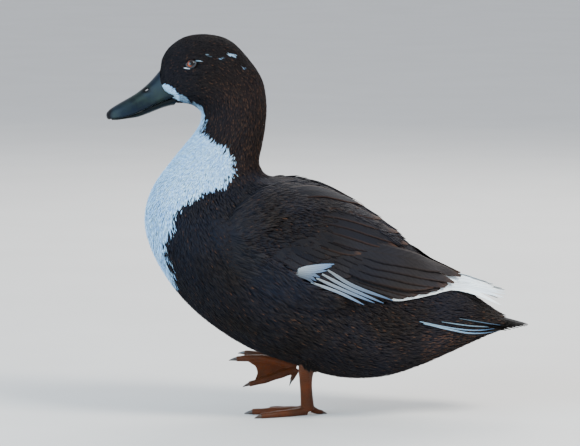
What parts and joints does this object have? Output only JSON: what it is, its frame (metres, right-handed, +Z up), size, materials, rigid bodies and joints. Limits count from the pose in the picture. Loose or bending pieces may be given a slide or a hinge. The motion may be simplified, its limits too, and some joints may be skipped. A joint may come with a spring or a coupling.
{
  "type": "domestic duck",
  "caption": "Life-size black domestic duck with a white bib, walking: one webbed foot on the floor, the other lifted, wings folded.",
  "frame": {"origin": "on the floor, under the middle of the bird's bounding box", "axes": "+X towards the tail, -X towards the bill, -Y towards the bird's left side, +Z up"},
  "size_m": [0.423, 0.1668, 0.3829],
  "materials": {
    "plumage": "matt feathers",
    "wing_plumage": "satin feathers",
    "leg_plumage": "matt feathers",
    "bill": "satin horn",
    "eye": "wet gloss",
    "leg_skin": "scaly satin skin",
    "claw": "horn"
  },
  "bodies": {
    "root": {"torso": "plumage", "neck": "plumage", "head": "plumage", "tail": "plumage", "wing_left": "wing_plumage", "wing_right": "wing_plumage", "thigh_left": "leg_plumage", "thigh_right": "leg_plumage", "bill_upper": "bill", "bill_lower": "bill", "eye_left": "eye", "eye_right": "eye", "shank_left": "leg_skin", "shank_right": "leg_skin", "foot_left": "leg_skin", "foot_right": "leg_skin", "claw_inner_left": "claw", "claw_middle_left": "claw", "claw_outer_left": "claw", "claw_hind_left": "claw", "claw_inner_right": "claw", "claw_middle_right": "claw", "claw_outer_right": "claw", "claw_hind_right": "claw"}
  },
  "joints": []
}
